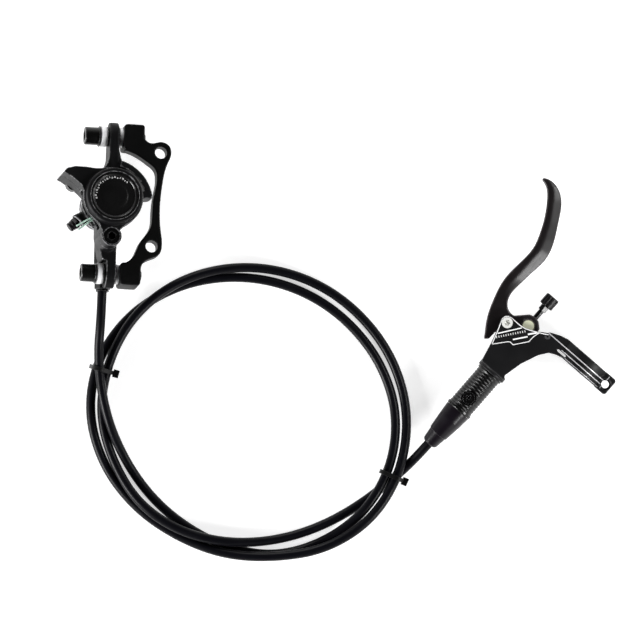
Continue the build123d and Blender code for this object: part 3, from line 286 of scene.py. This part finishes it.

# The caliper's two housings: aluminium die castings, bored and bolted face to face.
# Black powder coat gives them a fine orange-peel skin. Their convex edges are painted
# near white as a highlight.
PISTON_X = -7.5
PAD_TURN = 29.2
PISTONS_AT = on_caliper((PISTON_X, 0, 0))
PISTONS_TURN = CALIPER_LEAN @ turned(PAD_TURN, "z")
DRAFT_TOP = 29                        # just under the rotor's slot, in mm on the pistons' axis
NECK = 0.9
BORE_R = 11.05
BORE_NEAR = 0.5
HONED_OFF = 0.12
MERGE_AT = 1e-5
RELAX = 0.5
HIGHLIGHT_FROM, HIGHLIGHT_OVER = 0.1, 0.12  # how far a point with a painted edge highlight stands out, in voxels


def on_pistons(points_mm):
    """Millimetres in the frame of the pistons and pads to metres in the row frame."""
    return PISTONS_AT + points_mm @ PISTONS_TURN.T / 1000


def from_pistons(points):
    """The way back: metres in the row frame to millimetres on the pistons' axis."""
    return (points - PISTONS_AT) @ PISTONS_TURN * 1000


def honed(points):
    """Points within BORE_NEAR of a bore's wall move out from the pistons' axis by HONED_OFF, so
    that the pistons slide free of the even mesh."""
    local = from_pistons(points)
    radius = np.hypot(local[:, 0], local[:, 1])
    wall = np.abs(radius - BORE_R) < BORE_NEAR
    local[:, :2] *= np.where(wall, 1 + HONED_OFF / BORE_R, 1)[:, None]
    return on_pistons(local)


def drafted(points):
    """The round housing narrows downward, as a casting with draft does. Below DRAFT_TOP a point
    moves in by a sixth of its depth, and by up to NECK more within the first millimetre. All of
    that holds from 15.5 to 16.3 mm from the axis, and none of it inside 12.9 or past 19 mm."""
    local = from_pistons(points)
    radius = np.hypot(local[:, 0], local[:, 1])
    share = np.interp(radius, (12.9, 15.5, 16.3, 19), (0, 1, 1, 0))
    depth = np.clip(DRAFT_TOP - local[:, 2], 0, None)
    inward = share * (depth / 6 + NECK * np.minimum(depth, 1))
    local[:, :2] *= (1 - inward / np.maximum(radius, 1))[:, None]
    return honed(on_pistons(local))


def as_array(items, field, columns, kind=np.float64):
    """One field of a mesh's vertices, edges or normals, a row for each."""
    values = np.empty(len(items) * columns, kind)
    items.foreach_get(field, values)
    return values.reshape(-1, columns)


def mean_of_neighbours(points, ends):
    """For each point, the mean of the points at the other ends of its edges."""
    near, far = np.concatenate((ends, ends[:, ::-1])).T
    count = np.maximum(np.bincount(near, minlength=len(points)), 1)
    return np.stack([np.bincount(near, values, len(points)) / count for values in points[far].T], 1)


def cast(name, material, voxel_mm, rounds, body, weight=None, reshape=None):
    """A cast or forged copy of a CAD node: merged, remeshed to even quads, moved by the caller's
    reshape function, then relaxed so that its edges round over. In each round a point moves half
    way to the mean of its neighbours, times the weight that the caller's function gives it. How
    far a point then stands out from that mean, in voxels, gives a point attribute that marks
    convex edges, where the finish paints a highlight."""
    made = bpy.data.objects.new(name + "_cast", nodes[name].data.copy())
    scene.collection.objects.link(made)
    made.modifiers.new("weld", "WELD").merge_threshold = MERGE_AT
    remesh = made.modifiers.new("remesh", "REMESH")
    remesh.mode = "VOXEL"
    remesh.voxel_size = voxel_mm / 1000
    graph = bpy.context.evaluated_depsgraph_get()
    mesh = bpy.data.meshes.new_from_object(made.evaluated_get(graph))
    made.modifiers.clear()
    made.data = mesh
    mesh.materials.clear()
    mesh.materials.append(material)
    points = as_array(mesh.vertices, "co", 3)
    if reshape:
        points = reshape(points)
    ends = as_array(mesh.edges, "vertices", 2, np.int64)
    share = RELAX * (weight(points) if weight else np.ones(len(points)))
    for _ in range(rounds):
        points += share[:, None] * (mean_of_neighbours(points, ends) - points)
    mesh.vertices.foreach_set("co", points.ravel())
    mesh.polygons.foreach_set("use_smooth", np.full(len(mesh.polygons), True))
    mesh.update()
    normals = as_array(mesh.vertex_normals, "vector", 3, np.float32)
    out = ((points - mean_of_neighbours(points, ends)) * normals).sum(1) * 1000 / voxel_mm
    painted_edges = np.clip((out - HIGHLIGHT_FROM) / HIGHLIGHT_OVER, 0, 1).astype(np.float32)
    mesh.attributes.new("painted_edge_highlight", "FLOAT", "POINT").data.foreach_set("value", painted_edges)
    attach(made, body)
    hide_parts(name)


cast_black = finish("powder_coated_casting", "#0f0f10", 0.4, grain_mm=0.55, depth_mm=0.02,
                    edge_mm=0.4, painted_edge_light="#d8d8da", gloss=0.1)
cast("outboard_housing", cast_black, 0.42, 2, "fixed", reshape=drafted)
cast("inboard_housing", cast_black, 0.3, 1, "fixed", reshape=honed)

# The mount adapter: forged aluminium, tumbled round before it was painted black. Its
# thicker paint is smoother than the housings' coat. Its edges are painted a dull grey as
# a highlight, fainter than the housings'.
adapter_black = finish("painted_forging", "#060606", 0.4, grain_mm=0.7, depth_mm=0.015,
                       edge_mm=0.5, painted_edge_light="#4a4a4c", gloss=0.12)
cast("adapter_bracket", adapter_black, 0.35, 3, "fixed")

# The screwed bore cap: black phenolic, moulded with a rim, a sunk ring and a slightly
# raised middle. It is glossy, so its steps catch thin lines of light. Its edges are also
# painted a lighter grey as a highlight.
CAP_STEPS = 144
CAP_SPLIT = 35                        # degrees past which an edge stays hard
CAP_R = 12.85
CAP_PROFILE = (                       # height on the pistons' axis and radius, in mm
    (43.55, 0.5), (43.55, CAP_R), (44.0, CAP_R), (44.0, 11.8), (45.0, 11.8),
    (45.0, CAP_R), (45.5, CAP_R), (45.85, 12.6), (45.9, 12.3), (45.9, 11.75),
    (45.8, 11.5), (45.25, 11.1), (45.1, 10.9), (45.1, 7.5), (45.13, 7.2),
    (45.22, 6.9), (45.3, 6.3), (45.34, 5.0), (45.36, 1.5))


def turned_profile(profile, steps):
    """Points of a turned piece: each (along, radius) pair becomes a ring of
    (along, radius times cosine, radius times sine)."""
    along, radius = np.asarray(profile, float).T
    angle = np.arange(steps) * 2 * math.pi / steps
    return np.stack((along[:, None] + 0 * angle, radius[:, None] * np.cos(angle),
                     radius[:, None] * np.sin(angle)), -1).reshape(-1, 3)


def skin(rows, columns, ring=False):
    """Faces of a grid of points that closes across its columns. With ring the last row meets the
    first; without it a flat cap closes each end."""
    index = np.arange(rows * columns).reshape(rows, columns)
    low, high = (index, np.roll(index, -1, 0)) if ring else (index[:-1], index[1:])
    faces = np.stack((low, np.roll(low, -1, 1), np.roll(high, -1, 1), high), -1)
    faces = faces.reshape(-1, 4).tolist()
    return faces if ring else faces + [index[0].tolist(), index[-1].tolist()]


def piece(name, points, faces, material, body, smooth=True):
    """A new closed mesh in metres that rides on a body; its faces are turned outward."""
    mesh = bpy.data.meshes.new(name)
    mesh.from_pydata(np.asarray(points, float).tolist(), [], faces)
    shell = bmesh.new()
    shell.from_mesh(mesh)
    bmesh.ops.recalc_face_normals(shell, faces=shell.faces)
    shell.to_mesh(mesh)
    shell.free()
    mesh.polygons.foreach_set("use_smooth", np.full(len(mesh.polygons), smooth))
    mesh.materials.append(material)
    made = bpy.data.objects.new(name, mesh)
    scene.collection.objects.link(made)
    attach(made, body)
    return made


cap_black = finish("gloss_moulding", "#0d0d0d", 0.22, grain_mm=1.2, depth_mm=0.004, edge_mm=0.3,
                   painted_edge_light="#5a5a5c", gloss=0.5)
cap_points = turned_profile(CAP_PROFILE, CAP_STEPS)[:, (1, 2, 0)]
bore_cap = piece("bore_cap_moulding", on_pistons(cap_points), skin(len(CAP_PROFILE), CAP_STEPS),
                 cap_black, "fixed")
bore_cap.data.set_sharp_from_angle(angle=math.radians(CAP_SPLIT))
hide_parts("bore_cap")

# Marks on the cap: plain dashes of uneven length round the floor of its sunk ring,
# pad-printed in light grey paint, which is thin and matt.
DASH_RING = 9.9
DASH_WIDTH = 0.9
DASH_LOW, DASH_HIGH = 45.06, 45.13
DASH_FIRST, DASH_LAST, DASHES = 190, 50, 18                      # degrees, and how many
DASH_SPANS = 3 * (5, 4, 2.5, 5.5, 3, 4.5)                        # degrees
DASH_OFFSETS = 2 * (0, 0.3, -0.2, 0.1, -0.3, 0.2, 0.3, -0.1, 0)  # mm outward


def flat_bar(path, width, low, high):
    """A bar along a path of (x, y) points, from height low to high. Each point moves to both
    sides by half the width over the cosine of half its turn, along the mean of the two normals."""
    path = np.asarray(path, float)
    way = np.diff(path, axis=0)
    way /= np.linalg.norm(way, axis=1)[:, None]
    normal = np.column_stack((-way[:, 1], way[:, 0]))
    before, after = np.vstack((normal[:1], normal)), np.vstack((normal, normal[-1:]))
    side = (before + after) / (1 + (before * after).sum(1))[:, None] * width / 2
    left, right = path + side, path - side
    level = np.ones((len(path), 1))
    points = np.stack((np.hstack((left, level * low)), np.hstack((right, level * low)),
                       np.hstack((right, level * high)), np.hstack((left, level * high))), 1)
    return points.reshape(-1, 3), skin(len(path), 4)


def joined(solids):
    """One array of points and one list of faces from several solids. Each solid's faces are
    numbered on from the points before it."""
    points, faces = [], []
    for some_points, some_faces in solids:
        start = sum(map(len, points))
        faces += [[start + corner for corner in face] for face in some_faces]
        points.append(some_points)
    return np.vstack(points), faces


dashes = []
dash_turns = np.linspace(DASH_FIRST, DASH_LAST, DASHES) - PAD_TURN
for turn, span, offset in zip(dash_turns, DASH_SPANS, DASH_OFFSETS):
    arc = np.radians(turn + np.linspace(span / 2, -span / 2, 5))
    path = (DASH_RING + offset) * np.column_stack((np.cos(arc), np.sin(arc)))
    dashes.append(flat_bar(path, DASH_WIDTH, DASH_LOW, DASH_HIGH))
dash_points, dash_faces = joined(dashes)
print_grey = finish("pad_print_grey", "#b9b9b9", 0.5, grain_mm=0.2, depth_mm=0.004, edge_mm=0.02,
                    uneven=0.15, painted_edge_light="#b9b9b9")
piece("cap_dashes", on_pistons(dash_points), dash_faces, print_grey, "fixed", False)

# Bolts, domed washers, nuts and screws: machined steel in black oxide, a thin oiled
# skin. Their edges are painted a lighter grey as a highlight.
black_steel = finish("black_oxide_steel", "#060606", 0.26, grain_mm=0.3, depth_mm=0.001,
                     edge_mm=0.3, painted_edge_light="#5a5a5c", gloss=0.3)
dress(black_steel, "rear_body_bolt", "front_body_bolt", "upper_mount_bolt", "lower_mount_bolt",
      "upper_dome_washer", "lower_dome_washer", "upper_back_washer", "lower_back_washer",
      "bleed_nipple", "caliper_hose_nut", "lever_bleed_screw", "lever_hose_nut",
      "adjuster_screw", "adjuster_locknut")

# The adjuster's knob: turned aluminium, anodised black. The dye leaves it a little
# warmer and less glossy than the steel. Its edges are painted a lighter grey as a highlight.
knob_black = finish("black_anodised_knob", "#0a090a", 0.36, grain_mm=0.3, depth_mm=0.001,
                    edge_mm=0.35, painted_edge_light="#383638", gloss=0.22)
dress(knob_black, "adjuster_knob")

# The grub screw in the top of the lever's body: steel, phosphated to a dull dark grey,
# with a paler grey painted on its edges as a highlight.
grey_steel = finish("phosphated_steel", "#505052", 0.45, metallic=0.3, grain_mm=0.3, edge_mm=0.3,
                    painted_edge_light="#8c8c8e")
dress(grey_steel, "body_grub_screw")

# Cup and seat washers, circlip and springs: steel plated with bright zinc. It reads
# as a pale silver with soft highlights, and its edges are painted darker as shade.
bright_zinc = finish("bright_zinc_plate", "#f2f2f3", 0.4, metallic=0.3, grain_mm=0.2,
                     edge_mm=0.3, uneven=0.06, painted_edge_light="#3a3a3c")
dress(bright_zinc, "upper_cup_washer", "lower_cup_washer", "upper_seat_washer",
      "lower_seat_washer", "piston_circlip", "return_spring", "pad_spring")

# The split pin that holds the pads: soft steel wire, zinc plated and passivated,
# which gives it a pale green cast.
green_zinc = finish("green_chromate_zinc", "#93aea0", 0.35, metallic=0.5, grain_mm=0.3,
                    edge_mm=0.1, uneven=0.1, painted_edge_light="#93aea0")
dress(green_zinc, "pad_split_pin")

# The pivot screw of the blade: turned steel, nickel plated, nearly white, with a
# trace of yellow. Its edges are painted darker as shade.
nickel = finish("nickel_plate", "#f4f4f0", 0.34, metallic=0.25, grain_mm=0.5, depth_mm=0.001,
                edge_mm=0.3, uneven=0.03, painted_edge_light="#4a4a42")
dress(nickel, "pivot_screw")

# Seals, rings and the nipple's cap: rubber moulded in black. It is soft-looking, with
# a fine even grain from the mould. Its edges are painted a lighter grey as a highlight.
rubber = finish("moulded_rubber", "#0b090b", 0.38, grain_mm=0.5, depth_mm=0.012, edge_mm=0.3,
                painted_edge_light="#222022", gloss=0.2)
dress(rubber, "bleed_cap", "bore_cap_ring", "crossover_ring", "outer_piston_seal",
      "inner_piston_seal", "primary_cup", "secondary_cup")

# The boot where the hose enters the lever: dipped soft vinyl, smoother and shinier
# than the rubber, with a slight violet tone. Its edges are painted a lighter grey as a
# highlight.
boot_vinyl = finish("soft_vinyl_boot", "#0e0a10", 0.3, grain_mm=0.5, depth_mm=0.004, edge_mm=0.3,
                    painted_edge_light="#242026", gloss=0.3)
dress(boot_vinyl, "hose_boot")

# The sleeve over the master cylinder: rubber moulded in a polished tool, with rings
# between two collars and a flat pocket round the bleed screw. Each ring catches its
# own bright line.
RIB_PITCH = 1.77
RIB_DEPTH = 0.32
RIB_SUNK = 0.45                       # share of the depth that lies below the sleeve's line
RIBS_FROM, RIBS_TO = -25.9, -3.6
SLEEVE_STEPS = 160
SLEEVE_END, SLEEVE_MOUTH = -28.15, -2.0
SLEEVE_BORE = 6.25
SLEEVE_LINE = (                       # place along the lever's own x and radius, in mm
    (SLEEVE_END, 6.9), (-28.1, 7.2), (-27.6, 7.5), (-26.4, 7.5), (-26.2, 7.1), (-26.0, 6.85),
    (-3.6, 6.85), (-3.2, 7.1), (-3.0, 7.5), (-2.1, 7.5), (SLEEVE_MOUTH, 7.4))
SCREW_X = -19.3
POCKET_R, POCKET_WALL = 3.5, 0.5
POCKET_FLOOR = 6.3                    # radius down to which the pocket goes

along = np.concatenate(((SLEEVE_END, -28.1, -27.8), np.linspace(-27.6, -26.4, 7), (-26.2,),
                        np.linspace(-26.0, -3.6, 180), (-3.4, -3.2, -3.0),
                        (-2.5, -2.1, SLEEVE_MOUTH)))
outside = np.interp(along, *np.transpose(SLEEVE_LINE))

# A ring's height follows the sine of its place over the pitch, without its sign.
# Above the axis, the surface sinks to the pocket's floor near the bleed screw.
ribbed = (along > RIBS_FROM) & (along < RIBS_TO)
outside += ribbed * RIB_DEPTH * (np.abs(np.sin(math.pi * along / RIB_PITCH)) - RIB_SUNK)
angle = np.arange(SLEEVE_STEPS) * 2 * math.pi / SLEEVE_STEPS
along, outside = along[:, None], outside[:, None]
from_screw = np.hypot(along - SCREW_X, outside * np.cos(angle))
pocket = np.clip((from_screw - POCKET_R) / POCKET_WALL, 0, 1)
sunk = POCKET_FLOOR + (outside - POCKET_FLOOR) * pocket
radius = np.where((pocket < 1) & (outside * np.sin(angle) >= 0), sunk, outside)
sleeve = np.stack((along + 0 * angle, radius * np.cos(angle), radius * np.sin(angle)), -1)
bore = turned_profile(((SLEEVE_MOUTH, SLEEVE_BORE), (SLEEVE_END, SLEEVE_BORE)), SLEEVE_STEPS)
sleeve = np.concatenate((sleeve, bore.reshape(2, SLEEVE_STEPS, 3)))
# The rubber's edges are painted a little lighter, as a highlight.
sleeve_rubber = finish("polished_rubber", "#080808", 0.27, grain_mm=0.5, depth_mm=0.001,
                       edge_mm=0.3, painted_edge_light="#141414", gloss=0.34)
ribbed_sleeve = piece("ribbed_sleeve", on_lever(sleeve.reshape(-1, 3)),
                      skin(len(sleeve), SLEEVE_STEPS, ring=True), sleeve_rubber, "fixed")
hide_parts("reservoir_sleeve")

# Pistons of the caliper and the lever: aluminium, turned and left bare, a clean grey
# metal with a fine grain. Their edges are painted paler as a highlight.
piston_metal = finish("turned_aluminium", "#9a9a9e", 0.35, metallic=0.9, grain_mm=0.2,
                      painted_edge_light="#c4c4c8")
dress(piston_metal, "outer_piston", "inner_piston", "master_piston")

# Brake pads: stamped steel plates in thin dark grey paint, each with a block of
# friction mix pressed on it, brown and crumbly. The plates' edges are painted a lighter
# grey as a highlight, and the blocks' edges a darker grey as shade.
plate_paint = finish("painted_backing_plate", "#2a2a2b", 0.5)
dress(plate_paint, "outer_pad_plate", "inner_pad_plate")
friction = finish("pressed_friction_block", "#4a4038", 0.9, grain_mm=0.7, depth_mm=0.08,
                  uneven=0.5)
dress(friction, "outer_pad_lining", "inner_pad_lining")

# The hose's olives and the blade's pivot bushes: turned brass, left bare, plain
# yellow, with their edges painted paler as a highlight.
brass = finish("turned_brass", "#c9a15a", 0.3, metallic=0.9, painted_edge_light="#e0c48a")
dress(brass, "caliper_olive", "lever_olive", "upper_pivot_bush", "lower_pivot_bush")

# The trunnion barrel: turned steel, zinc plated and yellow passivated. Its end looks
# ivory, and its rounded rim is painted darker as shade.
ivory = finish("yellow_chromate_steel", "#eceed0", 0.42, metallic=0.1, edge_mm=0.6,
               painted_edge_light="#8d9070")
dress(ivory, "trunnion_barrel")

# The lever's body: an aluminium casting with the cylinder, the clamp and the blade's
# slot in one, painted satin black. The paint is a shade paler than the caliper's. Its
# convex edges are painted a lighter grey as a highlight.
lever_black = finish("satin_painted_body", "#131314", 0.42, grain_mm=0.6, depth_mm=0.012,
                     edge_mm=0.4, painted_edge_light="#4e4e50", gloss=0.18)
cast("lever_body", lever_black, 0.38, 1, "fixed")

# The blade: forged aluminium, anodised black with a brownish tone, with soft round
# edges painted a paler warm grey as a highlight. Along the grip its faces slope to the
# finger side.
BLADE_HALF = 5
GRIP_FROM, GRIP_OVER = 32, 14
HUB_RELAX = 0.1                       # the hub keeps crisp edges
FLAT_WIDTH = 3.6
SLOPE = 26
SLOPE_WIDTH = 5.5
BACK_LINE = np.array(((13.3, 16.9), (21.8, 21.9), (29.9, 24.8), (40, 27.1), (51.6, 26.8),
                      (64.6, 26.7), (70.4, 28.5), (77.4, 31.5), (87.4, 37.7), (90.9, 40.8),
                      (93.4, 46.1)))


def from_lever(points):
    """Metres in the row frame to millimetres in the lever's own frame."""
    return (points - LEVER_AT) @ LEVER_TURN * 1000


def grip(points):
    """How much a point belongs to the grip: 0 up to GRIP_FROM, 1 from GRIP_OVER past it."""
    return np.clip((from_lever(points)[:, 0] - GRIP_FROM) / GRIP_OVER, 0, 1)


def softened(points):
    """How much a point is relaxed: HUB_RELAX at the hub, rising to 1 along the grip."""
    return HUB_RELAX + (1 - HUB_RELAX) * grip(points)


def crowned(points):
    """Both faces stay flat for FLAT_WIDTH from the back line and then fall by the tangent of SLOPE
    times the distance beyond it, SLOPE_WIDTH at most, all times how much the point is grip. A
    point between the faces falls by its height's share of half the blade."""
    local = from_lever(points)
    ends = BACK_LINE[1:] - BACK_LINE[:-1]
    from_start = local[:, None, :2] - BACK_LINE[:-1]
    part = np.clip((from_start * ends).sum(2) / (ends ** 2).sum(1), 0, 1)
    gap = np.linalg.norm(from_start - part[:, :, None] * ends, axis=2).min(1)
    fall = math.tan(math.radians(SLOPE)) * np.clip(gap - FLAT_WIDTH, 0, SLOPE_WIDTH) * grip(points)
    local[:, 2] -= fall * np.clip(local[:, 2] / BLADE_HALF, -1, 1)
    return on_lever(local)


blade_black = finish("anodised_blade", "#110d0e", 0.36, grain_mm=0.8, depth_mm=0.01,
                     edge_mm=1.2, painted_edge_light="#7d7376", gloss=0.45)
cast("lever_blade", blade_black, 0.4, 9, "blade", softened, crowned)

# White lines on the lever's body, drawn as thin matt strips: a border along the front
# edge and the clamp, which is a painted highlight on that edge, a row of ticks and plain
# bars. The strips' own edges are a touch darker, as painted shade.
BODY_HALF = 9.0
WHITE_LINE_T = 0.05
WHITE_LINES = (                           # path in the lever's own frame and width, in mm
    (((10.5, 9.6), (16.4, 11.4), (24.0, 14.1), (25.7, 13.9), (27.1, 12.6), (27.6, 10.6),
      (27.55, 4.6), (28.1, 1.5), (29.2, -1.2), (31.0, -4.8), (32.7, -8.2), (33.8, -9.9)), 0.42),
    (((16.6, 10.9), (27.2, 3.2)), 0.6),
    (((10.5, 9.3), (16.9, 3.9), (17.5, 2.9), (17.4, 0.8), (24.1, -4.4), (28.0, -4.6),
      (31.2, -5.6)), 0.4),
    (((19.4, 2.7), (25.7, -2.2)), 0.75),
    (((26.7, -1.5), (30.9, -4.9)), 0.85))
TICKS = 13
TICK_FIRST, TICK_LAST = (14.4, 9.7), (26.6, 0.3)
TICK_RUN = np.array((0.62, 0.8))
TICK_WIDTH = 0.36

ticks = np.linspace(TICK_FIRST, TICK_LAST, TICKS)
white_lines_and_ticks = WHITE_LINES + tuple(((tick, tick + TICK_RUN), TICK_WIDTH) for tick in ticks)
line_points, line_faces = joined([
    flat_bar(path, width, BODY_HALF - WHITE_LINE_T, BODY_HALF + WHITE_LINE_T) for path, width in white_lines_and_ticks])
white_marks_and_highlight = finish("white_marks_and_painted_highlight", "#f6f6f6", 0.5, grain_mm=0.2, depth_mm=0.004,
                     edge_mm=0.02, uneven=0.05, painted_edge_light="#ececec")
piece("lever_marks_and_edge_highlight", on_lever(line_points), line_faces, white_marks_and_highlight, "fixed", False)

# Bright lines on the clamp: painted highlights along the edges of its raised half and of
# the groove beside it, over the ring from the body to the ears, and one across the ears.
CLAMP_Y = -33.1
BODY_END = -24                        # where the body's flat top ends and the ears' begins
EAR_HALF = 7.0
RIM_LOW, RIM_HIGH = -0.06, 0.03       # below and above the surface
RIM_STEPS = 60
RIMS = (                              # x, radius of the ring, first and last y, width
    (34.5, 14.6, -9.6, -48.2, 0.5), (32.05, 14.3, -20.5, -47.8, 0.42),
    (29.9, 14.3, -24.6, -47.6, 0.24))
EAR_RIM = ((30.2, -48.9), (38.2, -49.1))
EAR_RIM_WIDTH, EAR_RIM_HIGH = 0.3, 0.04

rims = []
for rim_x, ring_r, first_y, last_y, width in RIMS:
    rim_y = np.linspace(first_y, last_y, RIM_STEPS)
    ring_z = np.sqrt(np.clip(ring_r ** 2 - (rim_y - CLAMP_Y) ** 2, 0, None))
    surface = np.maximum(np.where(rim_y > BODY_END, BODY_HALF, EAR_HALF), ring_z)
    rim_path = np.column_stack((rim_x + 0 * rim_y, rim_y))
    rim_points, rim_faces = flat_bar(rim_path, width, RIM_LOW, RIM_HIGH)
    rim_points[:, 2] += np.repeat(surface, 4)
    rims.append((rim_points, rim_faces))
rims.append(flat_bar(EAR_RIM, EAR_RIM_WIDTH, EAR_HALF + RIM_LOW, EAR_HALF + EAR_RIM_HIGH))
rim_points, rim_faces = joined(rims)
rim_highlight = finish("painted_rim_highlight", "#d0d0d2", 0.4, metallic=0.2, grain_mm=0.2, depth_mm=0.004,
                  edge_mm=0.02, painted_edge_light="#d0d0d2")
piece("clamp_rim_highlights", on_lever(rim_points), rim_faces, rim_highlight, "fixed", False)
